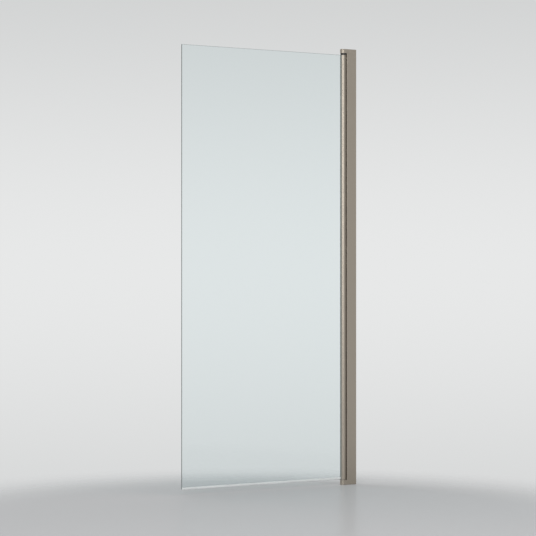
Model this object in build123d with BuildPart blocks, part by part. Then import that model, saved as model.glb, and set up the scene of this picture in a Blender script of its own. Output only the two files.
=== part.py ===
from build123d import *
import os
from math import radians, tan

# Swing door for a shower: one pane in a round hinge tube, between a top bracket and a foot block
# on a wall post. Millimetres. The wall is the plane X = 0 and the door reaches out along -X.
# The floor is Z = 0, the pane's middle plane is Y = 0, and the outside of the shower is -Y.

os.makedirs("parts", exist_ok=True)

# Overall
door_width = 890.0  # wall to the pane's free edge
door_height = 2000.0  # floor to the top of the top bracket

# Wall post, an aluminium extrusion
post_reach = 50.0  # wall to the post's nose
post_wall = 1.6
post_corner = 0.8
flute_wall = 1.9  # metal behind the flute
chamber_length = 20.0  # nose to the back of the front chamber
post_port_inset = 11.5  # nose to the screw ports of the brackets
post_port_offset = 7.5
post_port_wall = 1.6
recess_near = 8.0  # wall to the near side of the cover strip's recess
recess_width = 16.0
recess_depth = 3.0

# Seal strip in the post's flute
seal_neck = 1.6
seal_head = 3.6
seal_neck_depth = 0.9
seal_head_depth = 1.3

# Wall channel that the post slides over
adjust_room = 2.4  # between the channel and the post's web, to set the width
channel_wall = 1.6
channel_web = 2.0
wall_hole_radius = 2.75
wall_hole_end = 130.0  # first hole above the floor, last hole below the door's top
lock_screw_end = 200.0
lock_screw_radius = 1.7
lock_screw_reach = 6.4  # inside the wall channel
lock_head_radius = 3.6
lock_head_height = 1.8
strip_wall = 1.0

# Hinge tube, an aluminium extrusion
tube_radius = 13.0
tube_wall = 1.6
nose_margin = 1.0  # how far the brackets' round noses stand out round the tube
tube_nest = 1.0  # how far the tube stands inside the post's nose plane
flute_gap = 1.0
pocket_width = 10.0
pocket_wall = 1.1
pocket_floor = 5.2  # hinge axis to the pocket's floor
tube_port_inset = 4.0  # tube's outside to the middle of its screw port
tube_port_wall = 1.35

# Brackets
foot_height = 22.5
bracket_height = 19.0
bracket_edge = 1.0
bracket_shell = 2.5  # walls round the cored sides of both brackets
tongue_height = 6.0
tongue_width = 3.2

# Pane and what holds it
glass_thickness = 6.0
glass_rise = 5.5  # foot block's top to the pane's bottom edge
glass_arris = 0.6
setting_gap = 0.8  # pane's edge to the pocket's floor
block_length = 60.0
block_width = 5.0
block_end = 250.0
gasket_lip = 2.2  # how far a gasket shows beyond the tube
gasket_brim = 1.0  # how far it laps over the tube's edge
gasket_edge = 0.5  # a gasket's thinnest edge
wedge_taper = 0.8
wedge_nose = 2.0
drip_drop = 4.0  # pane's bottom edge to the drip lip's foot
drip_grip = 8.0  # how far up the pane the drip seal grips
drip_wall = 1.0
drip_web = 1.3
drip_end_gap = 1.2  # drip seal to the gaskets

# Lift cams: the door rises by lift while it opens by opening_angle
lift = 6.0
opening_angle = 90.0
cam_outer = 11.4
cam_inner = 5.0
cam_seat = 4.0  # floor of the foot's recess
cam_base = 2.5
cam_gap = 0.3  # between the two ramps, and round both cams
cam_play_angle = 4.0
cam_key_length = 4.0
cam_key_width = 3.0
cam_key_height = 2.6
cam_key_offset = 7.2
peg_radius = 1.5
peg_offset = 8.0
peg_length = 1.8

# Pins and plugs
pin_radius = 3.0
pin_point = 1.0  # chamfer on a pin's end
pin_head_radius = 5.0
pin_head_height = 2.1
lower_pin_rise = 27.5  # foot block's top to the lower pin's tip
upper_pin_length = 50.0
upper_pin_engaged = 7.4  # inside the bush
bush_wall = 2.0
bush_depth = 8.0
spring_length = 21.5
spring_wire = 1.0
spring_pitch = 5.0
spring_sides = 4  # the spring is wound from square wire
spring_play = 0.25  # round the spring in its bore
plug_flange = 1.2
plug_length = 36.0
top_cap = 1.6
neck_set_in = 1.0  # tube's outside to the neck of the top plug
neck_height = 6.6
top_gap = 8.5  # tube to top bracket: room for the lift
top_plug_length = 57.0
flange_inset = 0.1

# Screws
bracket_screw_radius = 1.7
bracket_sink_radius = 4.0
bracket_screw_grip = 12.0  # length inside the post
plug_screw_radius = 1.5
plug_sink_radius = 2.4
plug_screw_length = 16.0
bracket_key = 2.5
plug_key = 2.0

# Clearances
slide_clearance = 0.3  # pieces that pass or meet end to end
foot_gap = 0.35  # foot block to the door's lowest flange
pin_fit = 0.05
screw_fit = 0.05
press_fit = 0.02
plug_fit = 0.1
skin = 0.05  # a gasket or strip to what it grips

# Places that follow from the sizes
hinge_x = -(post_reach + tube_radius - tube_nest)
chamber_reach = post_reach - chamber_length
rear_reach = chamber_reach - post_wall
channel_reach = rear_reach - adjust_room
post_port_reach = post_reach - post_port_inset
half_depth = tube_radius + nose_margin
post_depth = 2 * half_depth
half_glass = glass_thickness / 2
half_pocket = pocket_width / 2
flute_radius = tube_radius + flute_gap
flute_bottom_x = hinge_x + flute_radius
seal_back_x = flute_bottom_x + seal_neck_depth + seal_head_depth
tube_bore = tube_radius - tube_wall
bracket_foot = door_height - bracket_height
tube_top = bracket_foot - top_gap
flange_foot = foot_height + foot_gap
tube_foot = flange_foot + plug_flange
glass_bottom = foot_height + glass_rise
drip_bottom = glass_bottom - drip_drop
drip_top = glass_bottom + drip_grip
lower_pin_top = foot_height + lower_pin_rise
pocket_floor_x = hinge_x - pocket_floor
pocket_back_x = pocket_floor_x + pocket_wall
tube_port_x = hinge_x + tube_radius - tube_port_inset
glass_near_x = pocket_floor_x - setting_gap
post_length = bracket_foot - foot_height
recess_x = -(recess_near + recess_width / 2)
recess_floor_y = half_depth - recess_depth
channel_rear_y = recess_floor_y - post_wall - slide_clearance
channel_front_y = -(half_depth - post_wall - slide_clearance)
channel_width = channel_rear_y - channel_front_y
wall_hole_pitch = (door_height - 2 * wall_hole_end) / 3
lock_screw_pitch = door_height / 2 - lock_screw_end
block_pitch = door_height / 2 - block_end
ramp_lead = lift * 360.0 / opening_angle
ramp_rise = ramp_lead / 2
ramp_foot = cam_seat + cam_base
cam_middle = (cam_outer + cam_inner) / 2
post_port_hole = bracket_screw_radius + screw_fit
tube_port_hole = plug_screw_radius + screw_fit
pin_bore = pin_radius + pin_fit
port_spots = [(-post_port_reach, -post_port_offset), (-post_port_reach, post_port_offset)]
neck_radius = tube_radius - neck_set_in
top_plug_top = tube_top + top_cap + neck_height
bush_foot = bracket_foot + lift + slide_clearance
pin_top = bush_foot + upper_pin_engaged
pin_foot = pin_top - upper_pin_length

# Outline of the foot block and the top bracket: round nose on the hinge axis, flat flanks
with BuildSketch() as bracket_outline:
    with Locations((hinge_x, 0)):
        Circle(half_depth)
        Rectangle(-hinge_x, post_depth, align=(Align.MIN, Align.CENTER))

# Tongue that seats a bracket in the post's front chamber
with BuildSketch() as tongue_outline:
    with Locations((-chamber_reach - slide_clearance, 0)):
        Rectangle(
            tongue_width,
            post_depth - 2 * post_wall - 2 * slide_clearance,
            align=(Align.MAX, Align.CENTER),
        )

# Section of a plug: the tube's hollow beside the glazing pocket, less the screw port
with BuildSketch() as plug_outline:
    with Locations((hinge_x, 0)):
        Circle(tube_bore - plug_fit)
    with Locations((pocket_back_x + plug_fit, 0)):
        Rectangle(tube_radius, 2 * tube_radius, align=(Align.MAX, Align.CENTER), mode=Mode.SUBTRACT)
    with Locations((tube_port_x, 0)):
        Circle(tube_port_hole + tube_port_wall + plug_fit, mode=Mode.SUBTRACT)

# Wall channel: a U screwed to the wall through its web
with BuildPart() as wall_channel:
    with BuildSketch(Plane.XY.offset(foot_height + slide_clearance)):
        with Locations((0, channel_front_y)):
            Rectangle(channel_reach, channel_width, align=(Align.MAX, Align.MIN))
        with Locations((-channel_web, channel_front_y + channel_wall)):
            Rectangle(
                channel_reach,
                channel_width - 2 * channel_wall,
                align=(Align.MAX, Align.MIN),
                mode=Mode.SUBTRACT,
            )
    extrude(amount=post_length - 2 * slide_clearance)
    with BuildSketch(Plane.YZ):
        with Locations((0, door_height / 2)):
            with GridLocations(0, wall_hole_pitch, 1, 4):
                Circle(wall_hole_radius)
    extrude(amount=-channel_web, mode=Mode.SUBTRACT)
    with BuildSketch(Plane.XZ.offset(-channel_rear_y)):
        with Locations((recess_x, door_height / 2)):
            with GridLocations(0, lock_screw_pitch, 1, 3):
                Circle(lock_screw_radius + screw_fit)
    extrude(amount=channel_wall, mode=Mode.SUBTRACT)
wall_channel.part.label = "wall_channel"
export_step(wall_channel.part, "parts/wall_channel.step")

# Front chamber of the post: what is hollow round the flute, the seal's groove and the ports
with BuildSketch() as front_chamber:
    with Locations((-chamber_reach, 0)):
        Rectangle(
            post_reach - chamber_reach - post_wall,
            post_depth - 2 * post_wall,
            align=(Align.MAX, Align.CENTER),
        )
    with Locations((hinge_x, 0)):
        Circle(flute_radius + flute_wall, mode=Mode.SUBTRACT)
    with Locations((seal_back_x + post_wall, 0)):
        Rectangle(
            flute_radius,
            seal_head + 2 * post_wall,
            align=(Align.MAX, Align.CENTER),
            mode=Mode.SUBTRACT,
        )
    with Locations(port_spots):
        Circle(post_port_hole + post_port_wall, mode=Mode.SUBTRACT)
    for side in (-1, 1):
        with Locations((-post_port_reach, side * half_depth)):
            Rectangle(post_port_wall, 2 * (half_depth - post_port_offset), mode=Mode.SUBTRACT)

# Rear room of the post: takes the wall channel, and widens beside the cover strip's recess
with BuildSketch() as rear_room:
    with Locations((0, post_wall - half_depth)):
        Rectangle(rear_reach, post_depth - 2 * post_wall, align=(Align.MAX, Align.MIN))
    with Locations((post_wall - recess_near, half_depth)):
        Rectangle(
            recess_width + 2 * post_wall,
            recess_depth + post_wall,
            align=(Align.MAX, Align.MAX),
            mode=Mode.SUBTRACT,
        )

# Post: fluted nose, front chamber with screw ports, open back that takes the wall channel
with BuildPart() as post_profile:
    with BuildSketch(Plane.XY.offset(foot_height)) as post_section:
        Rectangle(post_reach, post_depth, align=(Align.MAX, Align.CENTER))
        fillet(post_section.vertices().group_by(Axis.X)[0], post_corner)
        with Locations((hinge_x, 0)):
            Circle(flute_radius, mode=Mode.SUBTRACT)
        with Locations((-recess_near, half_depth)):
            Rectangle(recess_width, recess_depth, align=(Align.MAX, Align.MAX), mode=Mode.SUBTRACT)
        add(front_chamber.sketch, mode=Mode.SUBTRACT)
        add(rear_room.sketch, mode=Mode.SUBTRACT)
        with Locations(port_spots):
            Circle(post_port_hole, mode=Mode.SUBTRACT)
        # each port is open along a slit that faces the chamber's middle
        for side in (-1, 1):
            with Locations((-post_port_reach, side * post_port_offset)):
                Rectangle(
                    post_port_hole,
                    post_port_hole + 2 * post_port_wall,
                    align=(Align.CENTER, Align.MIN if side < 0 else Align.MAX),
                    mode=Mode.SUBTRACT,
                )
        with Locations((flute_bottom_x - flute_gap, 0)):
            Rectangle(
                flute_gap + seal_neck_depth,
                seal_neck,
                align=(Align.MIN, Align.CENTER),
                mode=Mode.SUBTRACT,
            )
        with Locations((seal_back_x, 0)):
            Rectangle(seal_head_depth, seal_head, align=(Align.MAX, Align.CENTER), mode=Mode.SUBTRACT)
    extrude(amount=post_length)
    with BuildSketch(Plane.XZ.offset(-recess_floor_y)):
        with Locations((recess_x, door_height / 2)):
            with GridLocations(0, lock_screw_pitch, 1, 3):
                Circle(lock_screw_radius + slide_clearance)
    extrude(amount=post_wall, mode=Mode.SUBTRACT)
post_profile.part.label = "post_profile"
export_step(post_profile.part, "parts/post_profile.step")

# Strip in the post's flute that closes the gap to the tube
with BuildPart() as post_seal:
    with BuildSketch(Plane.XY.offset(foot_height)):
        with Locations((seal_back_x - skin, 0)):
            Rectangle(
                seal_head_depth - 2 * skin,
                seal_head - 2 * skin,
                align=(Align.MAX, Align.CENTER),
            )
        with Locations((hinge_x + tube_radius + slide_clearance, 0)):
            Rectangle(
                flute_gap - slide_clearance + seal_neck_depth + 2 * skin,
                seal_neck - 2 * skin,
                align=(Align.MIN, Align.CENTER),
            )
    extrude(amount=post_length)
post_seal.part.label = "post_seal"
export_step(post_seal.part, "parts/post_seal.step")

# Screws that lock the post on the wall channel once the width is set
with BuildPart() as locking_screws:
    with BuildSketch(Plane.XZ.offset(-recess_floor_y)):
        with Locations((recess_x, door_height / 2)):
            with GridLocations(0, lock_screw_pitch, 1, 3):
                Circle(lock_head_radius)
    extrude(amount=-lock_head_height)
    chamfer(locking_screws.edges().group_by(Axis.Y)[-1], lock_head_height / 2)
    with BuildSketch(Plane.XZ.offset(-recess_floor_y)):
        with Locations((recess_x, door_height / 2)):
            with GridLocations(0, lock_screw_pitch, 1, 3):
                Circle(lock_screw_radius)
    extrude(amount=recess_floor_y - channel_rear_y + lock_screw_reach)
locking_screws.part.label = "locking_screws"
export_step(locking_screws.part, "parts/locking_screws.step")

# Strip that clips into the post's recess over the locking screws
strip_width = recess_width - 4 * skin
with BuildPart() as cover_strip:
    with BuildSketch(Plane.XY.offset(foot_height)):
        with Locations((recess_x, half_depth)):
            Rectangle(strip_width, recess_depth, align=(Align.CENTER, Align.MAX))
        with Locations((recess_x, recess_floor_y)):
            Rectangle(
                strip_width - 2 * strip_wall,
                lock_head_height + skin,
                align=(Align.CENTER, Align.MIN),
                mode=Mode.SUBTRACT,
            )
    extrude(amount=post_length)
cover_strip.part.label = "cover_strip"
export_step(cover_strip.part, "parts/cover_strip.step")

# Foot block: carries the post, the lower pin and the fixed cam, and stands on the floor
core_near_x = -bracket_shell
core_far_x = -(post_port_reach - bracket_sink_radius - bracket_shell)
with BuildPart() as foot_block:
    add(bracket_outline.sketch)
    extrude(amount=foot_height)
    # the edge that meets the wall stays sharp, here and on the top bracket
    chamfer(foot_block.edges().group_by(Axis.Z)[0].sort_by(Axis.X)[:-1], bracket_edge)
    with BuildSketch(Plane.XY.offset(foot_height)):
        add(tongue_outline.sketch)
    extrude(amount=tongue_height)
    with BuildSketch(Plane.XY.offset(foot_height)):
        with Locations((hinge_x, 0)):
            Circle(cam_outer + cam_gap)
    extrude(amount=cam_seat - foot_height, mode=Mode.SUBTRACT)
    with Locations((hinge_x, 0, cam_seat)):
        Hole(pin_radius + press_fit, cam_seat)
    with Locations((hinge_x, peg_offset, cam_seat), (hinge_x, -peg_offset, cam_seat)):
        Hole(peg_radius + screw_fit, peg_length)
    with BuildSketch():
        with Locations((hinge_x, 0)):
            Circle(pin_head_radius + screw_fit)
    extrude(amount=pin_head_height + slide_clearance, mode=Mode.SUBTRACT)
    with Locations(Plane(origin=(0, 0, 0), x_dir=(1, 0, 0), z_dir=(0, 0, -1))):
        with Locations(port_spots):
            CounterSinkHole(
                post_port_hole + screw_fit,
                bracket_sink_radius + screw_fit,
                foot_height,
                90,
            )
    # the underside is cored out to one wall and a middle rib
    with BuildSketch():
        with Locations((core_near_x, 0)):
            Rectangle(
                core_near_x - core_far_x,
                post_depth - 2 * bracket_shell,
                align=(Align.MAX, Align.CENTER),
            )
        Rectangle(2 * post_reach, bracket_shell, mode=Mode.SUBTRACT)
    extrude(amount=foot_height - bracket_shell, mode=Mode.SUBTRACT)
foot_block.part.label = "foot_block"
export_step(foot_block.part, "parts/foot_block.step")

# Top bracket: closes the post's top and holds the bush of the upper pin
with BuildPart() as top_bracket:
    with BuildSketch(Plane.XY.offset(bracket_foot)):
        add(bracket_outline.sketch)
    extrude(amount=bracket_height)
    chamfer(top_bracket.edges().group_by(Axis.Z)[-1].sort_by(Axis.X)[:-1], bracket_edge)
    with BuildSketch(Plane.XY.offset(bracket_foot)):
        add(tongue_outline.sketch)
    extrude(amount=-tongue_height)
    # the neck of the top plug rises into a recess, and the bush sits above it
    with BuildSketch(Plane.XY.offset(bracket_foot)):
        with Locations((hinge_x, 0)):
            Circle(neck_radius + slide_clearance)
    extrude(amount=bush_foot - bracket_foot, mode=Mode.SUBTRACT)
    with BuildSketch(Plane.XY.offset(bush_foot)):
        with Locations((hinge_x, 0)):
            Circle(pin_bore + bush_wall + press_fit)
    extrude(amount=bush_depth, mode=Mode.SUBTRACT)
    with Locations((0, 0, door_height)):
        with Locations(port_spots):
            CounterSinkHole(
                post_port_hole + screw_fit,
                bracket_sink_radius + screw_fit,
                bracket_height,
                90,
            )
    with BuildSketch(Plane.XY.offset(bracket_foot)):
        with Locations((core_near_x, 0)):
            Rectangle(
                rear_reach + core_near_x,
                post_depth - 2 * post_wall - 2 * bracket_shell,
                align=(Align.MAX, Align.CENTER),
            )
    extrude(amount=bracket_height - 2 * bracket_shell, mode=Mode.SUBTRACT)
top_bracket.part.label = "top_bracket"
export_step(top_bracket.part, "parts/top_bracket.step")


def countersunk_screws(spots, seat, inward, sink_radius, shank_radius, length, key):
    """Flush screws at the spots, from the plane Z = seat, going up for inward 1 and down for -1."""
    with BuildPart() as screws:
        with BuildSketch(Plane.XY.offset(seat)):
            with Locations(spots):
                Circle(sink_radius)
        extrude(amount=inward * (sink_radius - shank_radius), taper=45)
        with BuildSketch(Plane.XY.offset(seat)):
            with Locations(spots):
                Circle(shank_radius)
        extrude(amount=inward * length)
        with BuildSketch(Plane.XY.offset(seat)):
            with Locations(spots):
                RegularPolygon(key / 2, 6, major_radius=False)
        extrude(amount=inward * key / 2, mode=Mode.SUBTRACT)
    return screws.part


# Two screws hold the top bracket and two the foot block, each in a port of the post
with BuildPart() as top_bracket_screws:
    add(
        countersunk_screws(
            port_spots,
            door_height,
            -1,
            bracket_sink_radius,
            bracket_screw_radius,
            bracket_height + bracket_screw_grip,
            bracket_key,
        )
    )
top_bracket_screws.part.label = "top_bracket_screws"
export_step(top_bracket_screws.part, "parts/top_bracket_screws.step")

with BuildPart() as foot_block_screws:
    add(
        countersunk_screws(
            port_spots,
            skin,
            1,
            bracket_sink_radius,
            bracket_screw_radius,
            foot_height + bracket_screw_grip,
            bracket_key,
        )
    )
foot_block_screws.part.label = "foot_block_screws"
export_step(foot_block_screws.part, "parts/foot_block_screws.step")

# Lower pin: its head sits in the foot block, and the door's foot turns on its shank
with BuildPart() as lower_pivot_pin:
    with BuildSketch(Plane.XY.offset(slide_clearance)):
        with Locations((hinge_x, 0)):
            Circle(pin_head_radius)
    extrude(amount=pin_head_height)
    with BuildSketch(Plane.XY.offset(slide_clearance)):
        with Locations((hinge_x, 0)):
            Circle(pin_radius)
    extrude(amount=lower_pin_top - slide_clearance)
    chamfer(lower_pivot_pin.edges().group_by(Axis.Z)[-1], pin_point)
lower_pivot_pin.part.label = "lower_pivot_pin"
export_step(lower_pivot_pin.part, "parts/lower_pivot_pin.step")


def ramp_cutter(side):
    """What is cut away above a ramp (side 1) or below it (side -1).

    The ramp runs half a turn about a vertical axis through the origin, from height 0 on +X.
    """
    with BuildPart() as cutter:
        with BuildLine() as ramp:
            Helix(ramp_lead, ramp_rise, cam_middle)
        with BuildSketch(Plane.XZ):
            with Locations((cam_middle, 0)):
                Rectangle(
                    cam_outer - cam_inner + 4 * cam_gap,
                    ramp_rise + cam_base,
                    align=(Align.CENTER, Align.MIN if side > 0 else Align.MAX),
                )
        sweep(path=ramp.line, is_frenet=True)
    return cutter.part


# Sliver of a turn that keeps the two cams' upright faces apart when the door is shut
with BuildSketch() as play_sector:
    with BuildLine():
        Polyline(
            (0, 0),
            (2 * cam_outer, 0),
            (2 * cam_outer, 2 * cam_outer * tan(radians(cam_play_angle))),
            close=True,
        )
    make_face()

# Fixed lift cam: two helical ramps, each half a turn long, on a base pegged into the foot block
with BuildPart() as lift_cam_fixed:
    with BuildSketch(Plane.XY.offset(cam_seat)):
        with Locations((hinge_x, 0)):
            Circle(cam_outer)
            Circle(cam_inner, mode=Mode.SUBTRACT)
    extrude(amount=cam_base + ramp_rise)
    with Locations((hinge_x, 0, ramp_foot)):
        with PolarLocations(0, 2):
            add(ramp_cutter(1), mode=Mode.SUBTRACT)
    with BuildSketch(Plane.XY.offset(cam_seat)):
        with Locations((hinge_x, 0)):
            Circle(cam_middle)
            Circle(pin_radius + cam_gap, mode=Mode.SUBTRACT)
    extrude(amount=cam_base)
    with BuildSketch(Plane.XY.offset(cam_seat)):
        with Locations((hinge_x, peg_offset), (hinge_x, -peg_offset)):
            Circle(peg_radius)
    extrude(amount=screw_fit - peg_length)
lift_cam_fixed.part.label = "lift_cam_fixed"
export_step(lift_cam_fixed.part, "parts/lift_cam_fixed.step")

# Moving lift cam: rides up the fixed ramps as the door opens, keyed into the plug above it
disc_foot = ramp_foot + ramp_rise + cam_gap
with BuildPart() as lift_cam_moving:
    with BuildSketch(Plane.XY.offset(ramp_foot)):
        with Locations((hinge_x, 0)):
            Circle(cam_outer)
            Circle(cam_inner, mode=Mode.SUBTRACT)
    extrude(amount=flange_foot - ramp_foot)
    with Locations((hinge_x, 0, ramp_foot + cam_gap)):
        with PolarLocations(0, 2):
            add(ramp_cutter(-1), mode=Mode.SUBTRACT)
    with BuildSketch(Plane.XY.offset(ramp_foot)):
        with Locations((hinge_x, 0)):
            with PolarLocations(0, 2):
                add(play_sector.sketch)
    extrude(amount=ramp_rise + cam_gap, mode=Mode.SUBTRACT)
    with BuildSketch(Plane.XY.offset(disc_foot)):
        with Locations((hinge_x, 0)):
            Circle(cam_middle)
            Circle(pin_radius + cam_gap, mode=Mode.SUBTRACT)
    extrude(amount=flange_foot - disc_foot)
    with BuildSketch(Plane.XY.offset(flange_foot)):
        with Locations((hinge_x, cam_key_offset), (hinge_x, -cam_key_offset)):
            Rectangle(cam_key_length, cam_key_width)
    extrude(amount=cam_key_height)
lift_cam_moving.part.label = "lift_cam_moving"
export_step(lift_cam_moving.part, "parts/lift_cam_moving.step")

# Bottom plug: carries the tube on its flange, turns on the lower pin and drives the moving cam
with BuildPart() as tube_bottom_plug:
    with BuildSketch(Plane.XY.offset(flange_foot)):
        with Locations((hinge_x, 0)):
            Circle(tube_radius - flange_inset)
    extrude(amount=plug_flange)
    with BuildSketch(Plane.XY.offset(tube_foot)):
        add(plug_outline.sketch)
    extrude(amount=plug_length)
    with BuildSketch(Plane.XY.offset(flange_foot)):
        with Locations((hinge_x, 0)):
            Circle(pin_bore)
    extrude(amount=lower_pin_top + slide_clearance - flange_foot, mode=Mode.SUBTRACT)
    with BuildSketch(Plane.XY.offset(flange_foot)):
        with Locations((hinge_x, cam_key_offset), (hinge_x, -cam_key_offset)):
            Rectangle(cam_key_length + 2 * plug_fit, cam_key_width + 2 * plug_fit)
    extrude(amount=cam_key_height + plug_fit, mode=Mode.SUBTRACT)
    with Locations(Plane(origin=(tube_port_x, 0, flange_foot), x_dir=(1, 0, 0), z_dir=(0, 0, -1))):
        CounterSinkHole(tube_port_hole, plug_sink_radius + screw_fit, plug_flange, 90)
tube_bottom_plug.part.label = "tube_bottom_plug"
export_step(tube_bottom_plug.part, "parts/tube_bottom_plug.step")

# Hollow of the hinge tube: its bore less the glazing pocket's walls and the screw port
with BuildSketch() as tube_hollow:
    with Locations((hinge_x, 0)):
        Circle(tube_bore)
    with Locations((pocket_back_x, 0)):
        Rectangle(
            tube_radius,
            pocket_width + 2 * pocket_wall,
            align=(Align.MAX, Align.CENTER),
            mode=Mode.SUBTRACT,
        )
    with Locations((tube_port_x, 0)):
        Circle(tube_port_hole + tube_port_wall, mode=Mode.SUBTRACT)

# Hinge tube: round outside, with a pocket for the pane and a screw port for the plugs
with BuildPart() as hinge_tube:
    with BuildSketch(Plane.XY.offset(tube_foot)):
        with Locations((hinge_x, 0)):
            Circle(tube_radius)
        add(tube_hollow.sketch, mode=Mode.SUBTRACT)
        with Locations((pocket_floor_x, 0)):
            Rectangle(
                tube_radius,
                pocket_width,
                align=(Align.MAX, Align.CENTER),
                mode=Mode.SUBTRACT,
            )
        with Locations((tube_port_x, 0)):
            Circle(tube_port_hole, mode=Mode.SUBTRACT)
            Rectangle(
                tube_port_hole + 2 * tube_port_wall,
                tube_port_hole,
                align=(Align.MAX, Align.CENTER),
                mode=Mode.SUBTRACT,
            )
    extrude(amount=tube_top - tube_foot)
hinge_tube.part.label = "hinge_tube"
export_step(hinge_tube.part, "parts/hinge_tube.step")

# Top plug: caps the tube, fills the gap under the bracket and guides the sprung pin in a blind bore
with BuildPart() as tube_top_plug:
    with BuildSketch(Plane.XY.offset(tube_top)):
        with Locations((hinge_x, 0)):
            Circle(tube_radius - flange_inset)
    extrude(amount=top_cap)
    with BuildSketch(Plane.XY.offset(tube_top)):
        with Locations((hinge_x, 0)):
            Circle(neck_radius)
    extrude(amount=top_plug_top - tube_top)
    with BuildSketch(Plane.XY.offset(tube_top)):
        add(plug_outline.sketch)
    extrude(amount=-top_plug_length)
    with BuildSketch(Plane.XY.offset(top_plug_top)):
        with Locations((hinge_x, 0)):
            Circle(pin_bore)
    extrude(amount=pin_foot - spring_length - top_plug_top, mode=Mode.SUBTRACT)
    with Locations((tube_port_x, 0, top_plug_top)):
        CounterSinkHole(
            tube_port_hole,
            plug_sink_radius + screw_fit,
            top_plug_top - tube_top,
            90,
        )
tube_top_plug.part.label = "tube_top_plug"
export_step(tube_top_plug.part, "parts/tube_top_plug.step")

# One countersunk screw holds each plug in the tube's screw port
plug_screw_spots = [(tube_port_x, 0)]
with BuildPart() as tube_plug_screws:
    add(
        countersunk_screws(
            plug_screw_spots,
            top_plug_top,
            -1,
            plug_sink_radius,
            plug_screw_radius,
            plug_screw_length + neck_height,
            plug_key,
        )
    )
    add(
        countersunk_screws(
            plug_screw_spots,
            flange_foot + skin,
            1,
            plug_sink_radius,
            plug_screw_radius,
            plug_screw_length,
            plug_key,
        )
    )
tube_plug_screws.part.label = "tube_plug_screws"
export_step(tube_plug_screws.part, "parts/tube_plug_screws.step")

# Bush for the upper pin
with BuildPart() as top_bush:
    with BuildSketch(Plane.XY.offset(bush_foot)):
        with Locations((hinge_x, 0)):
            Circle(pin_bore + bush_wall)
            Circle(pin_bore, mode=Mode.SUBTRACT)
    extrude(amount=bush_depth - skin)
top_bush.part.label = "top_bush"
export_step(top_bush.part, "parts/top_bush.step")

# Upper pin, pushed up into the bush by its spring
with BuildPart() as upper_pivot_pin:
    with BuildSketch(Plane.XY.offset(pin_foot)):
        with Locations((hinge_x, 0)):
            Circle(pin_radius)
    extrude(amount=upper_pin_length)
    chamfer(upper_pivot_pin.edges().group_by(Axis.Z)[-1], pin_point)
upper_pivot_pin.part.label = "upper_pivot_pin"
export_step(upper_pivot_pin.part, "parts/upper_pivot_pin.step")

spring_foot = pin_foot - spring_length + spring_wire / 2 + skin
with BuildPart() as pivot_spring:
    with BuildLine(Plane(origin=(hinge_x, 0, spring_foot))) as coil:
        Helix(
            spring_pitch,
            spring_length - spring_wire - 2 * skin,
            pin_bore - spring_play - spring_wire / 2,
        )
    with BuildSketch(Plane(origin=coil.line @ 0, z_dir=coil.line % 0)):
        RegularPolygon(spring_wire / 2, spring_sides)
    sweep(path=coil.line, is_frenet=True)
pivot_spring.part.label = "pivot_spring"
export_step(pivot_spring.part, "parts/pivot_spring.step")

# Pane of tempered glass with arrissed edges
with BuildPart() as glass_panel:
    with BuildSketch(Plane.XZ.offset(-half_glass)):
        with Locations((-door_width, glass_bottom)):
            Rectangle(
                door_width + glass_near_x,
                tube_top - glass_bottom,
                align=(Align.MIN, Align.MIN),
            )
    extrude(amount=glass_thickness)
    pane_faces = glass_panel.faces().sort_by(Axis.Y)
    chamfer(pane_faces[0].edges() + pane_faces[-1].edges(), glass_arris)
glass_panel.part.label = "glass_panel"
export_step(glass_panel.part, "parts/glass_panel.step")

# Lap of a gasket over the tube's edge, on the side towards the shower
gasket_face_y = half_glass + skin
gasket_back_y = half_pocket - skin
gasket_mouth_x = hinge_x - tube_radius
gasket_tip_x = gasket_mouth_x - gasket_lip
with BuildSketch() as gasket_lap:
    with BuildLine():
        Polyline(
            (hinge_x, gasket_face_y),
            (hinge_x, gasket_back_y + gasket_brim),
            (gasket_mouth_x + gasket_edge, gasket_back_y + gasket_brim),
            (gasket_tip_x, gasket_face_y + gasket_edge),
            (gasket_tip_x, gasket_face_y),
            close=True,
        )
    make_face()
    with Locations((hinge_x, 0)):
        Circle(tube_radius + skin, mode=Mode.SUBTRACT)

# Outer gasket: lies in the pocket before the pane goes in
with BuildPart() as outer_glazing_seal:
    with BuildSketch(Plane.XY.offset(tube_foot + slide_clearance)):
        mirror(gasket_lap.sketch, about=Plane.XZ)
        with Locations((glass_near_x, -gasket_face_y)):
            Rectangle(
                glass_near_x - gasket_mouth_x,
                gasket_back_y - gasket_face_y,
                align=(Align.MAX, Align.MAX),
            )
    extrude(amount=tube_top - tube_foot - slide_clearance)
outer_glazing_seal.part.label = "outer_glazing_seal"
export_step(outer_glazing_seal.part, "parts/outer_glazing_seal.step")

# Inner gasket: its nose is tapered, so that it can be pressed in beside the pane
with BuildPart() as inner_glazing_wedge:
    with BuildSketch(Plane.XY.offset(tube_foot + slide_clearance)):
        add(gasket_lap.sketch)
        with BuildLine():
            Polyline(
                (glass_near_x, gasket_face_y),
                (glass_near_x, gasket_back_y - wedge_taper),
                (glass_near_x - wedge_nose, gasket_back_y),
                (gasket_mouth_x, gasket_back_y),
                (gasket_mouth_x, gasket_face_y),
                close=True,
            )
        make_face()
    extrude(amount=tube_top - tube_foot - slide_clearance)
inner_glazing_wedge.part.label = "inner_glazing_wedge"
export_step(inner_glazing_wedge.part, "parts/inner_glazing_wedge.step")

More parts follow.
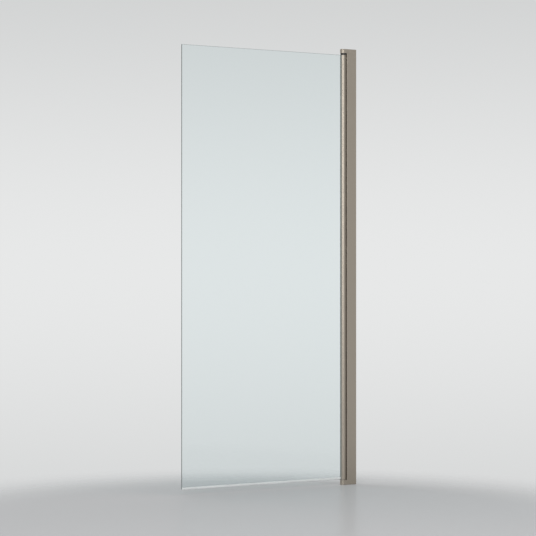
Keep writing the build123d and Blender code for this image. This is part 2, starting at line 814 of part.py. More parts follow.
# Setting blocks: three behind the pane's edge, and one under its corner on the plug's flange
with BuildPart() as glass_setting_blocks:
    with BuildSketch(Plane.XZ.offset(-block_width / 2)):
        with Locations((pocket_floor_x, door_height / 2)):
            with GridLocations(0, block_pitch, 1, 3):
                Rectangle(setting_gap, block_length, align=(Align.MAX, Align.CENTER))
    extrude(amount=block_width)
    with BuildSketch(Plane.XY.offset(tube_foot)):
        with Locations((glass_near_x, 0)):
            Rectangle(block_width, block_width, align=(Align.MAX, Align.CENTER))
    extrude(amount=glass_bottom - tube_foot)
glass_setting_blocks.part.label = "glass_setting_blocks"
export_step(glass_setting_blocks.part, "parts/glass_setting_blocks.step")

# Drip seal: clear U that grips the pane's bottom edge, with a lip towards the shower
drip_near_x = gasket_tip_x - drip_end_gap
drip_face_y = half_glass + skin
drip_foot = glass_bottom - drip_web
with BuildPart() as drip_seal:
    with BuildSketch(Plane.YZ.offset(drip_near_x)):
        with Locations((0, drip_foot)):
            Rectangle(
                2 * (drip_face_y + drip_wall),
                drip_top - drip_foot,
                align=(Align.CENTER, Align.MIN),
            )
        with Locations((0, glass_bottom)):
            Rectangle(
                2 * drip_face_y,
                drip_top - glass_bottom,
                align=(Align.CENTER, Align.MIN),
                mode=Mode.SUBTRACT,
            )
        with BuildLine():
            Polyline(
                (0, drip_foot),
                (drip_face_y, drip_bottom),
                (drip_face_y + drip_wall, drip_bottom),
                (drip_wall * 2, drip_foot),
                close=True,
            )
        make_face()
    extrude(amount=-(door_width + drip_near_x))
drip_seal.part.label = "drip_seal"
export_step(drip_seal.part, "parts/drip_seal.step")
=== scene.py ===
# %% [markdown]
# # A glass swing door for a shower
#
# The door is one clear pane in a round hinge tube. The tube turns between a top bracket and a
# foot block, and both sit on a wall post of bronze anodised aluminium. The solids come ready
# made, at their real size, so this script gives them their finishes, adds what is too fine for
# them, and builds a small studio. All lengths are in metres. The wall is the plane X = 0, the
# door reaches out along -X, the floor is Z = 0, and the outside of the shower is -Y.

# %% Load the solids
import bpy
import bmesh
import math
from mathutils import Matrix, Vector


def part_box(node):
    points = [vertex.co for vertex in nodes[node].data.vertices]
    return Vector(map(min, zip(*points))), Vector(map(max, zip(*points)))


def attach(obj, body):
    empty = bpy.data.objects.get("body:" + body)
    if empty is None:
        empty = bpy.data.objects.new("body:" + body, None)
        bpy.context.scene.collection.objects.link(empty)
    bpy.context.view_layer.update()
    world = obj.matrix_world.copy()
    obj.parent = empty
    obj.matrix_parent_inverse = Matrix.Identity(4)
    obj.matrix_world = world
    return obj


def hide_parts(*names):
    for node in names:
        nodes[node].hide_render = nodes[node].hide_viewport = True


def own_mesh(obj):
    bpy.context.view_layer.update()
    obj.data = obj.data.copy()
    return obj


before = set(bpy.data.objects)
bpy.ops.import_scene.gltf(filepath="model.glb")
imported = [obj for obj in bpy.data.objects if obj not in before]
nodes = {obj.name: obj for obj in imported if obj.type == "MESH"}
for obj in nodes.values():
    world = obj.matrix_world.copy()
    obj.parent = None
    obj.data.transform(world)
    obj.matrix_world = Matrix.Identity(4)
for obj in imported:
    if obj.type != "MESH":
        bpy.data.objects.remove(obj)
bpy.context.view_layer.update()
scene = bpy.context.scene

# %% [markdown]
# ## Camera
#
# A product shot of a tall door is taken from far away with a long lens and a level camera, so
# that its upright edges stay parallel. The camera stands about eight metres off at half the
# door's height. It is turned 29.3 degrees from the pane's normal, so the round tube and the
# post's flat front both show. A level camera needs no shift here, because the horizon lies across
# the middle of the picture.

# %% Camera
turn = math.radians(29.26)
camera_place = Vector((-4.376, -6.994, 0.995))
picture_width = 536
focal_pixels = 1787
sensor_width = 36.0
farthest_seen = 60.0

camera = bpy.data.cameras.new("camera")
camera.sensor_width = sensor_width
camera.lens = focal_pixels / picture_width * sensor_width
camera.clip_end = farthest_seen
camera_object = bpy.data.objects.new("camera", camera)
camera_object.location = camera_place
camera_object.rotation_euler = (math.radians(90), 0, -turn)
scene.collection.objects.link(camera_object)
scene.camera = camera_object
print("lens:", round(camera.lens, 1), "mm")

# %% [markdown]
# ## Helpers for node materials
#
# Each finish below is a small node tree. The first helpers make a material with a Principled
# shader, add a node with its settings, and give a noise in object coordinates. The solids sit at
# the origin, so object coordinates are metres on the door, and a pattern keeps its scale on every
# piece. A noise can then be spread over a range of values, blended between two colours, or turned
# into relief.


# %% Node helpers
def new_material(name, **values):
    material = bpy.data.materials.new(name)
    material.use_nodes = True
    shader = material.node_tree.nodes["Principled BSDF"]
    for socket, value in values.items():
        shader.inputs[socket.replace("_", " ")].default_value = value
    return material, material.node_tree, shader


def add_node(tree, kind, **settings):
    node = tree.nodes.new(kind)
    for key, value in settings.items():
        setattr(node, key, value)
    return node


def noise(tree, stretch, detail):
    """A noise whose features are about 1 / stretch metres long on each axis."""
    place = add_node(tree, "ShaderNodeTexCoord")
    mapping = add_node(tree, "ShaderNodeMapping")
    mapping.inputs["Scale"].default_value = stretch
    texture = add_node(tree, "ShaderNodeTexNoise")
    texture.inputs["Scale"].default_value = 1.0
    texture.inputs["Detail"].default_value = detail
    texture.inputs["Roughness"].default_value = 0.6
    tree.links.new(place.outputs["Object"], mapping.inputs["Vector"])
    tree.links.new(mapping.outputs["Vector"], texture.inputs["Vector"])
    return texture.outputs["Fac"]


def spread(tree, value, low, high):
    """value, from 0 to 1, spread between low and high."""
    reach = add_node(tree, "ShaderNodeMapRange")
    reach.inputs["To Min"].default_value = low
    reach.inputs["To Max"].default_value = high
    tree.links.new(value, reach.inputs["Value"])
    return reach.outputs["Result"]


def blend_colours(tree, value, at_zero, at_one):
    mix = add_node(tree, "ShaderNodeMix", data_type="RGBA")
    mix.inputs["A"].default_value = (*at_zero, 1.0)
    mix.inputs["B"].default_value = (*at_one, 1.0)
    tree.links.new(value, mix.inputs["Factor"])
    return mix.outputs["Result"]


def bump(tree, shader, height, distance, strength):
    relief = add_node(tree, "ShaderNodeBump")
    relief.inputs["Distance"].default_value = distance
    relief.inputs["Strength"].default_value = strength
    tree.links.new(height, relief.inputs["Height"])
    tree.links.new(relief.outputs["Normal"], shader.inputs["Normal"])


# %% [markdown]
# Most finishes differ only in their numbers. One grain varies the colour, the roughness and the
# relief together, as a scratch or a pit does on a real surface. Where the colour varies more
# broadly than the grain, a second noise, the clouds, drives it alone.


# %% Grained finishes
def grained(
    name, stretch, colours, roughness, relief, strength, detail=3.0, clouds=None, **values
):
    material, tree, shader = new_material(name, **values)
    grain = noise(tree, stretch, detail)
    shade = noise(tree, clouds, detail) if clouds else grain
    tree.links.new(blend_colours(tree, shade, *colours), shader.inputs["Base Color"])
    tree.links.new(spread(tree, grain, *roughness), shader.inputs["Roughness"])
    bump(tree, shader, grain, relief, strength)
    return material


def finish_nodes(material, *names):
    for name in names:
        for slot in nodes[name].material_slots:
            slot.material = material
    print(material.name, "on", ", ".join(names))


# %% [markdown]
# ## Bronze anodised aluminium
#
# The post, its cover strip and the hinge tube are extrusions, brushed along their length and then
# anodised in a warm grey bronze. Brushing leaves fine streaks that are very long in Z and very
# narrow across, so the noise is stretched that way. A thin coat stands for the clear oxide layer,
# which gives the highlight its paler tone.

# %% Extruded bronze
bronze_dark = (0.340, 0.299, 0.246)
bronze_light = (0.407, 0.360, 0.301)

bronze = grained(
    "bronze_brushed",
    stretch=(1400.0, 1400.0, 1.5),
    colours=(bronze_dark, bronze_light),
    roughness=(0.30, 0.44),
    relief=0.00002,
    strength=0.25,
    detail=4.0,
    Metallic=0.88,
    IOR=1.6,
    Coat_Weight=0.35,
    Coat_Roughness=0.28,
)
finish_nodes(bronze, "post_profile", "cover_strip", "hinge_tube")

# %% [markdown]
# The top bracket and the foot block are die-cast, blasted and then coloured to match. Their grain
# has no direction, so the highlight on their round noses is wider and calmer than the one on the
# tube.

# %% Cast bronze
cast_bronze = grained(
    "bronze_blasted",
    stretch=(2600.0, 2600.0, 2600.0),
    colours=(bronze_dark, bronze_light),
    roughness=(0.36, 0.50),
    relief=0.00004,
    strength=0.4,
    detail=2.0,
    clouds=(40.0, 40.0, 40.0),
    Metallic=0.85,
    IOR=1.6,
    Coat_Weight=0.25,
    Coat_Roughness=0.35,
)
finish_nodes(cast_bronze, "top_bracket", "foot_block")

# %% [markdown]
# ## Clear tempered glass
#
# Six millimetres of ordinary clear glass take a little red out of the light, so the pane looks
# faintly blue-green, and much deeper along its edges. A volume that absorbs light by the distance
# travelled gives both at once, where a tinted surface would colour the face and the edge alike.
# Lamps would be stopped by a refracting surface, so their rays meet a transparent one instead.

# %% Glass
glass_absorption = (0.34, 0.72, 0.76)
absorption_per_metre = 24.0
lamp_tint = (0.93, 0.97, 0.97)

glass, tree, shader = new_material("clear_glass", Transmission_Weight=1.0, IOR=1.52)
path = add_node(tree, "ShaderNodeLightPath")
open_to_lamps = add_node(tree, "ShaderNodeBsdfTransparent")
open_to_lamps.inputs["Color"].default_value = (*lamp_tint, 1.0)
either = add_node(tree, "ShaderNodeMixShader")
output = tree.nodes["Material Output"]
tree.links.new(path.outputs["Is Shadow Ray"], either.inputs["Fac"])
tree.links.new(shader.outputs["BSDF"], either.inputs[1])
tree.links.new(open_to_lamps.outputs["BSDF"], either.inputs[2])
tree.links.new(either.outputs["Shader"], output.inputs["Surface"])
absorb = add_node(tree, "ShaderNodeVolumeAbsorption")
absorb.inputs["Color"].default_value = (*glass_absorption, 1.0)
absorb.inputs["Density"].default_value = absorption_per_metre
tree.links.new(absorb.outputs["Volume"], output.inputs["Volume"])
finish_nodes(glass, "glass_panel")

# %% [markdown]
# The narrow edges are ground, which leaves them satin. They also get a painted shade: a dark
# green tint that stands in for the dark line the edges show. They are the outermost half
# millimetre of the pane, so a mask finds them by their place: beyond a line along the free edge,
# the top or the foot. That mask sets the roughness and the painted shade. The tint is far darker
# than the edge looks, because refraction takes only the square root of it.

# %% Ground edges of the glass, with painted shade
clear = (1.0, 1.0, 1.0)
# The edge tint is painted shade, a dark green standing in for the dark line along the edges.
painted_edge_shade = (0.050, 0.090, 0.080)
ground_roughness = 0.35
ground_width = 0.0005

pane_low, pane_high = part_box("glass_panel")
place = add_node(tree, "ShaderNodeTexCoord")
split = add_node(tree, "ShaderNodeSeparateXYZ")
tree.links.new(place.outputs["Object"], split.inputs["Vector"])
lines_beyond = (
    ("X", "LESS_THAN", pane_low[0] + ground_width),
    ("Z", "LESS_THAN", pane_low[2] + ground_width),
    ("Z", "GREATER_THAN", pane_high[2] - ground_width),
)
edge_mask = None
for axis, side, line in lines_beyond:
    beyond = add_node(tree, "ShaderNodeMath", operation=side)
    beyond.inputs[1].default_value = line
    tree.links.new(split.outputs[axis], beyond.inputs[0])
    if edge_mask is None:
        edge_mask = beyond.outputs["Value"]
        continue
    both = add_node(tree, "ShaderNodeMath", operation="MAXIMUM")
    tree.links.new(edge_mask, both.inputs[0])
    tree.links.new(beyond.outputs["Value"], both.inputs[1])
    edge_mask = both.outputs["Value"]
edge_shade_colour = blend_colours(tree, edge_mask, clear, painted_edge_shade)
tree.links.new(edge_shade_colour, shader.inputs["Base Color"])
edge_roughness = spread(tree, edge_mask, 0.0, ground_roughness)
tree.links.new(edge_roughness, shader.inputs["Roughness"])
print("ground edges:", len(lines_beyond))

# %% [markdown]
# ## Gaskets and the clear drip seal
#
# The pane is held by two dark gaskets, and a third seals the post to the tube. They are matt,
# with the faint lengthways lines of extruded rubber. The strip under the pane is clear vinyl that
# has gone very slightly milky, so it shows as a paler band along the bottom edge.

# %% Rubber and vinyl
rubber = grained(
    "dark_gasket",
    stretch=(900.0, 900.0, 12.0),
    colours=((0.200, 0.205, 0.185), (0.270, 0.275, 0.250)),
    roughness=(0.42, 0.60),
    relief=0.00003,
    strength=0.5,
    IOR=1.5,
)
finish_nodes(rubber, "outer_glazing_seal", "inner_glazing_wedge", "post_seal")

vinyl = grained(
    "clear_vinyl",
    stretch=(20.0, 300.0, 300.0),
    colours=((0.86, 0.885, 0.88), (0.93, 0.945, 0.94)),
    roughness=(0.10, 0.24),
    relief=0.00005,
    strength=0.3,
    Transmission_Weight=0.35,
    IOR=1.45,
)
finish_nodes(vinyl, "drip_seal")

# %% [markdown]
# ## Plastics
#
# The plugs and setting blocks are dark moulded plastic with a spark-eroded grain. The cams and
# the bush are natural acetal, a waxy off-white that slides well and lets a little light in.

# %% Plastics
moulded = grained(
    "dark_plastic",
    stretch=(1800.0, 1800.0, 1800.0),
    colours=((0.018, 0.018, 0.018), (0.034, 0.033, 0.032)),
    roughness=(0.40, 0.58),
    relief=0.00005,
    strength=0.5,
    IOR=1.5,
)
finish_nodes(moulded, "tube_top_plug", "tube_bottom_plug", "glass_setting_blocks")

acetal = grained(
    "natural_acetal",
    stretch=(120.0, 120.0, 120.0),
    colours=((0.70, 0.69, 0.64), (0.76, 0.75, 0.71)),
    roughness=(0.28, 0.40),
    relief=0.00003,
    strength=0.3,
    IOR=1.48,
    Subsurface_Weight=0.15,
    Subsurface_Scale=0.002,
)
finish_nodes(acetal, "lift_cam_fixed", "lift_cam_moving", "top_bush")

# %% [markdown]
# ## Plain metals
#
# Screws, pins and the spring are stainless steel, drawn or turned, so their fine marks run round
# them. The wall channel is left as it came from the press, because the post hides it.

# %% Plain metals
steel = grained(
    "stainless_steel",
    stretch=(200.0, 200.0, 6000.0),
    colours=((0.50, 0.50, 0.49), (0.62, 0.62, 0.60)),
    roughness=(0.20, 0.34),
    relief=0.00001,
    strength=0.4,
    Metallic=1.0,
)
finish_nodes(
    steel,
    "top_bracket_screws",
    "foot_block_screws",
    "locking_screws",
    "tube_plug_screws",
    "lower_pivot_pin",
    "upper_pivot_pin",
    "pivot_spring",
)

raw_aluminium = grained(
    "mill_aluminium",
    stretch=(700.0, 700.0, 4.0),
    colours=((0.58, 0.58, 0.58), (0.72, 0.72, 0.71)),
    roughness=(0.28, 0.46),
    relief=0.00003,
    strength=0.4,
    Metallic=1.0,
)
finish_nodes(raw_aluminium, "wall_channel")

# %% [markdown]
# ## Drawing a section
#
# Most of this door is extruded: one section, pushed through a die and cut to length. So the new
# pieces start as a drawn section too. A pen moves from vertex to vertex. A straight run adds one
# vertex, and an arc is that vertex spun about an axis. Filling the closed outlines gives the
# face, holes included, and extruding the face gives the bar.

# %% Section helpers
up = Vector((0, 0, 1))
weld_distance = 1e-6
round_segments = 3


def draw_line(shape, pen, place):
    corner = shape.verts.new(place)
    shape.edges.new((pen, corner))
    return corner


def draw_arc(shape, pen, centre, axis, degrees, steps):
    swept = bmesh.ops.spin(
        shape,
        geom=[pen],
        cent=centre,
        axis=axis,
        angle=math.radians(degrees),
        steps=steps,
    )
    return next(part for part in swept["geom_last"] if isinstance(part, bmesh.types.BMVert))


def draw_outline(shape, start, moves):
    """Draw moves from start. A point ends a straight run, and anything else describes an arc."""
    pen = shape.verts.new(start)
    for move in moves:
        if isinstance(move, Vector):
            pen = draw_line(shape, pen, move)
        else:
            pen = draw_arc(shape, pen, *move)


def extrude_section(shape, normal, along):
    bmesh.ops.remove_doubles(shape, verts=shape.verts, dist=weld_distance)
    bmesh.ops.triangle_fill(shape, edges=shape.edges, use_beauty=True, normal=normal)
    grown = bmesh.ops.extrude_face_region(shape, geom=shape.faces[:])
    moved = [part for part in grown["geom"] if isinstance(part, bmesh.types.BMVert)]
    bmesh.ops.translate(shape, verts=moved, vec=along)
    bmesh.ops.recalc_face_normals(shape, faces=shape.faces)


def round_edges(shape, edges, width):
    bmesh.ops.bevel(
        shape,
        geom=edges,
        offset=width,
        offset_type="OFFSET",
        segments=round_segments,
        profile=0.5,
        affect="EDGES",
        clamp_overlap=True,
        material=-1,
    )


# %% [markdown]
# A finished shape becomes a piece that stands for one of the solids and moves with its body.
# Smooth shading hides the steps of the arcs, while edges that are sharper than a set angle stay
# crisp. A weighted normal modifier lets the large flat faces keep their own direction, so that
# only the narrow rounded edges beside them look bent.

# %% From shape to piece
crisp_degrees = 32.0
flat_face_weight = 90


def add_piece(name, shape, material, body, replaced):
    mesh = bpy.data.meshes.new(name)
    shape.to_mesh(mesh)
    open_edges = sum(1 for edge in shape.edges if not edge.is_manifold)
    shape.free()
    mesh.shade_smooth()
    mesh.set_sharp_from_angle(angle=math.radians(crisp_degrees))
    mesh.materials.append(material)
    piece = bpy.data.objects.new(name, mesh)
    scene.collection.objects.link(piece)
    even_shading = piece.modifiers.new("even_shading", "WEIGHTED_NORMAL")
    even_shading.keep_sharp = True
    even_shading.weight = flat_face_weight
    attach(piece, body)
    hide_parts(replaced)
    print(name, "faces:", len(mesh.polygons), "open edges:", open_edges)
    return piece


# %% [markdown]
# ## Hinge tube
#
# On the real door the tube is one extrusion: a round wall, a square pocket for the pane on one
# side and a screw port on the other. The solid of it is cut into flat steps that would band the
# long highlight, so it is drawn again here with a finer arc. Its radius, place and length come
# from the solid. What follows from its few sizes is where its lines meet: the bore and the
# pocket's wrapping, the bore and the port, the port and its slit.

# %% Sizes of the tube
tube_low, tube_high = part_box("hinge_tube")
tube_radius = tube_high[1]
hinge = Vector((tube_high[0] - tube_radius, 0, tube_low[2]))
tube_wall = 0.0016
pocket_half = 0.005
pocket_wall = 0.0011
pocket_floor = 0.0052
port_inset = 0.004
port_hole = 0.00155
port_wall = 0.00135
lip_ease = 0.00025


def from_hinge(x, y):
    return hinge + Vector((x, y, 0))


def angle_of(x, y):
    return math.degrees(math.atan2(y, x))


bore = tube_radius - tube_wall
lip_x = -math.sqrt(tube_radius**2 - pocket_half**2)
wrap_half = pocket_half + pocket_wall
wrap_x = -math.sqrt(bore**2 - wrap_half**2)
port_x = tube_radius - port_inset
port_outer = port_hole + port_wall
meet_x = (bore**2 - port_outer**2 + port_x**2) / (2 * port_x)
meet_y = math.sqrt(bore**2 - meet_x**2)
slit_half = port_hole / 2
slit_outer_x = -math.sqrt(port_outer**2 - slit_half**2)
slit_inner_x = -math.sqrt(port_hole**2 - slit_half**2)
port_middle = from_hinge(port_x, 0)
print("tube radius:", round(tube_radius, 4), "bore radius:", round(bore, 4))

# %% [markdown]
# The outline runs round the outside and into the pocket. The hollow behind it is a second
# outline, which wraps the pocket and opens into the screw port. The two lips of the pocket are
# eased, because a die leaves no knife edge and anodising wears off one.

# %% Hinge tube
outside_steps = 112
bore_steps = 36
port_steps = 8
hole_steps = 20
outside_turn = 2 * angle_of(-lip_x, pocket_half) - 360
bore_turn = angle_of(wrap_x, wrap_half) - angle_of(meet_x, meet_y)
port_turn = angle_of(slit_outer_x, slit_half) - angle_of(meet_x - port_x, meet_y)
hole_turn = 2 * angle_of(slit_inner_x, slit_half)
outside_arc = (hinge, up, outside_turn, outside_steps)
bore_arc = (hinge, up, -bore_turn, bore_steps)
port_arc = (port_middle, up, port_turn, port_steps)
hole_arc = (port_middle, up, -hole_turn, hole_steps)

shape = bmesh.new()
outside = (
    outside_arc,
    from_hinge(-pocket_floor, -pocket_half),
    from_hinge(-pocket_floor, pocket_half),
    from_hinge(lip_x, pocket_half),
)
draw_outline(shape, outside[-1], outside)
hollow = (
    bore_arc,
    port_arc,
    from_hinge(port_x + slit_inner_x, slit_half),
    hole_arc,
    from_hinge(port_x + slit_outer_x, -slit_half),
    port_arc,
    bore_arc,
    from_hinge(pocket_wall - pocket_floor, -wrap_half),
    from_hinge(pocket_wall - pocket_floor, wrap_half),
    from_hinge(wrap_x, wrap_half),
)
draw_outline(shape, hollow[-1], hollow)
extrude_section(shape, up, Vector((0, 0, tube_high[2] - tube_low[2])))

lips = [
    edge
    for edge in shape.edges
    if edge.calc_length() > tube_radius
    and all(abs(end.co.x - hinge.x - lip_x) < weld_distance for end in edge.verts)
]
round_edges(shape, lips, lip_ease)
add_piece("tube_extrusion", shape, bronze, "door", "hinge_tube")

# %% [markdown]
# ## Drip seal
#
# The strip under the pane is a clear vinyl U that grips the glass, with a lip below it on the wet
# side. Its corners are round, since soft vinyl leaves the die that way, and those corners carry
# the thin bright line along the bottom of the door. It is drawn like the tube, but across the
# door's width.

# %% Drip seal
drip_low, drip_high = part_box("drip_seal")
vinyl_wall = 0.001
vinyl_web = 0.0013
lip_drop = 0.0027
outer_half = drip_high[1]
inner_half = outer_half - vinyl_wall
corner = 0.0009
corner_steps = 6
tip = 0.0003
tip_steps = 4
across = Vector((1, 0, 0))
web_foot = drip_low[2] + lip_drop


def on_section(y, z):
    return Vector((drip_low[0], y, z))


def quarter(y, z, steps):
    return on_section(y, z), across, 90, steps


start = on_section(-outer_half, drip_high[2] - tip)
outline = (
    on_section(-outer_half, web_foot + corner),
    quarter(corner - outer_half, web_foot + corner, corner_steps),
    on_section(0, web_foot),
    on_section(inner_half, drip_low[2]),
    on_section(outer_half - tip, drip_low[2]),
    quarter(outer_half - tip, drip_low[2] + tip, tip_steps),
    on_section(2 * vinyl_wall, web_foot),
    on_section(outer_half - corner, web_foot),
    quarter(outer_half - corner, web_foot + corner, corner_steps),
    on_section(outer_half, drip_high[2] - tip),
    quarter(outer_half - tip, drip_high[2] - tip, tip_steps),
    on_section(inner_half, drip_high[2]),
    on_section(inner_half, web_foot + vinyl_web),
    on_section(-inner_half, web_foot + vinyl_web),
    on_section(-inner_half, drip_high[2]),
    on_section(tip - outer_half, drip_high[2]),
    quarter(tip - outer_half, drip_high[2] - tip, tip_steps),
)
shape = bmesh.new()
draw_outline(shape, start, outline)
extrude_section(shape, across, Vector((drip_high[0] - drip_low[0], 0, 0)))
add_piece("drip_profile", shape, vinyl, "door", "drip_seal")

# %% [markdown]
# ## Spring
#
# A small compression spring in the top plug holds the upper pin up in its bush while the door
# rises. It is wound from round wire, its end coils lie close against their neighbours, and both
# ends are ground flat so that it stands square. A ring of the wire's section is spun about the
# hinge axis with a rise at each step: a close coil, the open coils, then a close coil again. Two
# planes then grind the ends. The spring shortens as the door lifts.

# %% Spring
spring_low, spring_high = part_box("pivot_spring")
wire = 0.001
wire_sides = 14
close_turns = 1
open_turns = 5
steps_a_turn = 28
spring_length = spring_high[2] - spring_low[2]
coil_radius = spring_high[0] - hinge.x - wire / 2


def wind(shape, ring, turns, rise):
    steps = turns * steps_a_turn
    swept = bmesh.ops.spin(
        shape,
        geom=ring,
        cent=hinge,
        axis=up,
        dvec=up * rise / steps,
        angle=math.radians(360 * turns),
        steps=steps,
    )
    return swept["geom_last"]


def fill_openings(shape):
    rims = [edge for edge in shape.edges if edge.is_boundary]
    bmesh.ops.holes_fill(shape, edges=rims, sides=0)


shape = bmesh.new()
bmesh.ops.create_circle(shape, cap_ends=False, segments=wire_sides, radius=wire / 2)
bmesh.ops.rotate(
    shape, verts=shape.verts, matrix=Matrix.Rotation(math.radians(90), 3, "X")
)
bmesh.ops.translate(
    shape, verts=shape.verts, vec=(hinge.x + coil_radius, 0, spring_low[2])
)
ring = wind(shape, shape.verts[:] + shape.edges[:], close_turns, wire)
ring = wind(shape, ring, open_turns, spring_length - 2 * wire)
wind(shape, ring, close_turns, wire)
fill_openings(shape)
for end, outward in ((spring_low[2], -up), (spring_high[2], up)):
    bmesh.ops.bisect_plane(
        shape,
        geom=shape.verts[:] + shape.edges[:] + shape.faces[:],
        plane_co=(hinge.x, 0, end),
        plane_no=outward,
        clear_outer=True,
    )
    fill_openings(shape)
bmesh.ops.recalc_face_normals(shape, faces=shape.faces)
spring = add_piece("wound_spring", shape, steel, "top_pivot", "pivot_spring")
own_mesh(spring)

# %% [markdown]
# ## Cast bracket and block
#
# The top bracket and the foot block are castings whose outer edges are broken by a small chamfer.
# Under the blasting those edges are slightly round, and that roundness is what catches the light.
# Their solids already have every hole and seat, so the pieces start from a merged copy of them.
# Only the edges on the outside are then rounded. They are found by how far they lie inside the
# outline, which is a round nose on the hinge axis with straight flanks to the wall.

# %% Cast pieces
cast_round = 0.00035
broken_edge = 0.0011
wall_margin = 0.0005
flat_degrees = 0.5


def depth_inside(place, half_depth):
    reach = math.hypot(min(place.x - hinge.x, 0), place.y)
    return half_depth - reach


def soften_casting(node, name):
    shape = bmesh.new()
    shape.from_mesh(nodes[node].data)
    bmesh.ops.remove_doubles(shape, verts=shape.verts, dist=weld_distance)
    bmesh.ops.dissolve_limit(
        shape,
        angle_limit=math.radians(flat_degrees),
        verts=shape.verts,
        edges=shape.edges,
    )
    half_depth = max(vert.co.y for vert in shape.verts)
    outer = [
        edge
        for edge in shape.edges
        if edge.is_manifold
        and edge.calc_face_angle() > math.radians(crisp_degrees)
        and all(depth_inside(end.co, half_depth) < broken_edge for end in edge.verts)
        and any(end.co.x < -wall_margin for end in edge.verts)
    ]
    print(node, "outer edges:", len(outer))
    round_edges(shape, outer, cast_round)
    add_piece(name, shape, cast_bronze, "wall_frame", node)


soften_casting("top_bracket", "top_bracket_casting")
soften_casting("foot_block", "foot_block_casting")

# %% [markdown]
# ## Floor
#
# The studio has a plain pale floor and a plain pale background, so the door can be seen from
# every side. The floor is a large disc. It lies a hair below the foot block, so that no two faces
# share one plane.

# %% Floor
floor_middle = Vector((-0.95, -0.85, -0.0002))
floor_radius = 2.1
floor_sides = 96

floor_mesh = bpy.data.meshes.new("floor")
shape = bmesh.new()
bmesh.ops.create_circle(shape, cap_ends=True, segments=floor_sides, radius=floor_radius)
bmesh.ops.translate(shape, verts=shape.verts, vec=floor_middle)
shape.to_mesh(floor_mesh)
shape.free()
floor = bpy.data.objects.new("floor", floor_mesh)
scene.collection.objects.link(floor)
print("floor radius:", floor_radius, "m")

# %% [markdown]
# A floor that ran to the horizon would put a line behind the pane. This one fades out instead:
# its shader turns transparent away from the middle, so the floor melts into the background. A
# little gloss, the same from every angle, gives the soft reflection under the pane and keeps the
# floor as pale from above as it is from the side.

# %% Finish of the floor
floor_solid, floor_gone = 1.0, 2.0
floor_colour = (0.465, 0.47, 0.478)
matt_roughness = 0.9
floor_gloss = 0.15
gloss_roughness = 0.24

floor_finish, tree, shader = new_material(
    "pale_floor",
    Base_Color=(*floor_colour, 1.0),
    Roughness=matt_roughness,
    Specular_IOR_Level=0.0,
)
sheen = add_node(tree, "ShaderNodeBsdfGlossy")
sheen.inputs["Color"].default_value = (1.0, 1.0, 1.0, 1.0)
sheen.inputs["Roughness"].default_value = gloss_roughness
polished = add_node(tree, "ShaderNodeMixShader")
polished.inputs["Fac"].default_value = floor_gloss
place = add_node(tree, "ShaderNodeTexCoord")
offset = add_node(tree, "ShaderNodeVectorMath", operation="SUBTRACT")
offset.inputs[1].default_value = floor_middle
length = add_node(tree, "ShaderNodeVectorMath", operation="LENGTH")
fade = add_node(tree, "ShaderNodeMapRange", interpolation_type="SMOOTHERSTEP")
fade.inputs["From Min"].default_value = floor_solid
fade.inputs["From Max"].default_value = floor_gone
gone = add_node(tree, "ShaderNodeBsdfTransparent")
either = add_node(tree, "ShaderNodeMixShader")
tree.links.new(place.outputs["Object"], offset.inputs[0])
tree.links.new(offset.outputs["Vector"], length.inputs[0])
tree.links.new(length.outputs["Value"], fade.inputs["Value"])
tree.links.new(fade.outputs["Result"], either.inputs["Fac"])
tree.links.new(shader.outputs["BSDF"], polished.inputs[1])
tree.links.new(sheen.outputs["BSDF"], polished.inputs[2])
tree.links.new(polished.outputs["Shader"], either.inputs[1])
tree.links.new(gone.outputs["BSDF"], either.inputs[2])
tree.links.new(either.outputs["Shader"], tree.nodes["Material Output"].inputs["Surface"])
floor_mesh.materials.append(floor_finish)
print("floor fades from", floor_solid, "to", floor_gone, "m")

# %% [markdown]
# ## Background
#
# The world is the pale background, and metal and glass reflect it too, because a glossy or
# transmitted ray sees the same colour as the camera does. What lights the matt surfaces is set
# apart from it, at a plain level. The background is brightest at eye level and dims a little
# above and below, as a lit backdrop does, so the flat front of the post mirrors more light at
# half its height.

# %% World
eye_level_colour = (0.80, 0.807, 0.807)
far_colour = (0.60, 0.61, 0.61)
dimmed_at_slope = 0.22
world_light = 0.62

world = bpy.data.worlds.new("studio")
world.use_nodes = True
tree = world.node_tree
seen = tree.nodes["Background"]
direction = add_node(tree, "ShaderNodeTexCoord")
split = add_node(tree, "ShaderNodeSeparateXYZ")
slope = add_node(tree, "ShaderNodeMath", operation="ABSOLUTE")
dimming = add_node(tree, "ShaderNodeMapRange", interpolation_type="SMOOTHSTEP")
dimming.inputs["From Max"].default_value = dimmed_at_slope
tree.links.new(direction.outputs["Generated"], split.inputs["Vector"])
tree.links.new(split.outputs["Z"], slope.inputs[0])
tree.links.new(slope.outputs["Value"], dimming.inputs["Value"])
backdrop = blend_colours(tree, dimming.outputs["Result"], eye_level_colour, far_colour)
tree.links.new(backdrop, seen.inputs["Color"])
lit = add_node(tree, "ShaderNodeBackground")
lit.inputs["Color"].default_value = (1.0, 1.0, 1.0, 1.0)
lit.inputs["Strength"].default_value = world_light
path = add_node(tree, "ShaderNodeLightPath")
camera_or_glossy = add_node(tree, "ShaderNodeMath", operation="MAXIMUM")
direct_view = add_node(tree, "ShaderNodeMath", operation="MAXIMUM")
either = add_node(tree, "ShaderNodeMixShader")
tree.links.new(path.outputs["Is Camera Ray"], camera_or_glossy.inputs[0])
tree.links.new(path.outputs["Is Glossy Ray"], camera_or_glossy.inputs[1])
tree.links.new(camera_or_glossy.outputs["Value"], direct_view.inputs[0])
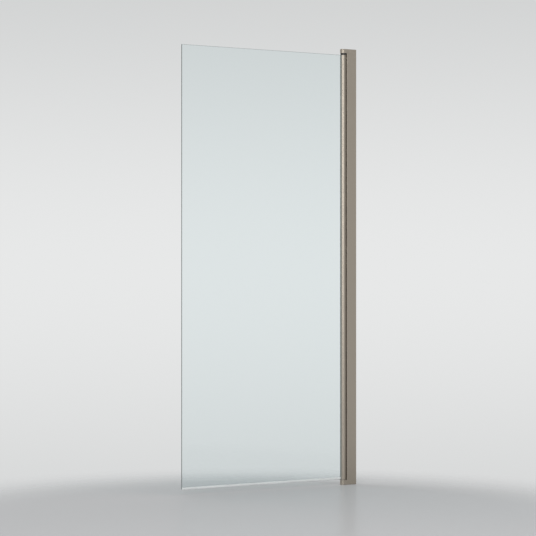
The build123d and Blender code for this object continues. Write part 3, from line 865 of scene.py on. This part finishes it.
tree.links.new(path.outputs["Is Transmission Ray"], direct_view.inputs[1])
tree.links.new(direct_view.outputs["Value"], either.inputs["Fac"])
tree.links.new(lit.outputs["Background"], either.inputs[1])
tree.links.new(seen.outputs["Background"], either.inputs[2])
tree.links.new(either.outputs["Shader"], tree.nodes["World Output"].inputs["Surface"])
scene.world = world
print("background dims to a slope of", dimmed_at_slope)

# %% [markdown]
# ## Lamps
#
# A large soft lamp on the left draws the bright line down the tube, left of its middle. It is
# linked to everything but the pane, because a clear pane would show it as a hard white rectangle
# from some sides. A broad lamp from above and one from behind fill in the shadows, and nothing
# mirrors those two.

# %% Lamps
door_middle = Vector((-0.45, 0.0, 1.0))
all_but_pane = bpy.data.collections.new("all_but_pane")
all_but_pane.objects.link(nodes["glass_panel"])
all_but_pane.collection_objects[0].light_linking.link_state = "EXCLUDE"


def soft_lamp(name, place, width, height, watts, mirrored):
    lamp = bpy.data.lights.new(name, "AREA")
    lamp.shape = "RECTANGLE"
    lamp.size = width
    lamp.size_y = height
    lamp.energy = watts
    lamp_object = bpy.data.objects.new(name, lamp)
    lamp_object.location = place
    towards_door = door_middle - Vector(place)
    lamp_object.rotation_euler = towards_door.to_track_quat("-Z", "Y").to_euler()
    lamp_object.visible_camera = False
    lamp_object.visible_transmission = False
    lamp_object.visible_glossy = mirrored
    if mirrored:
        lamp_object.light_linking.receiver_collection = all_but_pane
    scene.collection.objects.link(lamp_object)
    print(name, watts, "W")


soft_lamp("large_left", (-2.95, -3.7, 1.85), width=3.2, height=2.4, watts=82, mirrored=True)
soft_lamp("broad_front", (1.6, -3.6, 3.4), width=2.4, height=1.6, watts=55, mirrored=False)
soft_lamp("behind", (-2.2, 3.4, 2.6), width=2.0, height=1.6, watts=45, mirrored=False)

# %% [markdown]
# ## Colour management
#
# The plain Standard view shows a colour as it is written, so the bronze and the pale background
# can be judged by their numbers.

# %% Colour management
scene.view_settings.view_transform = "Standard"
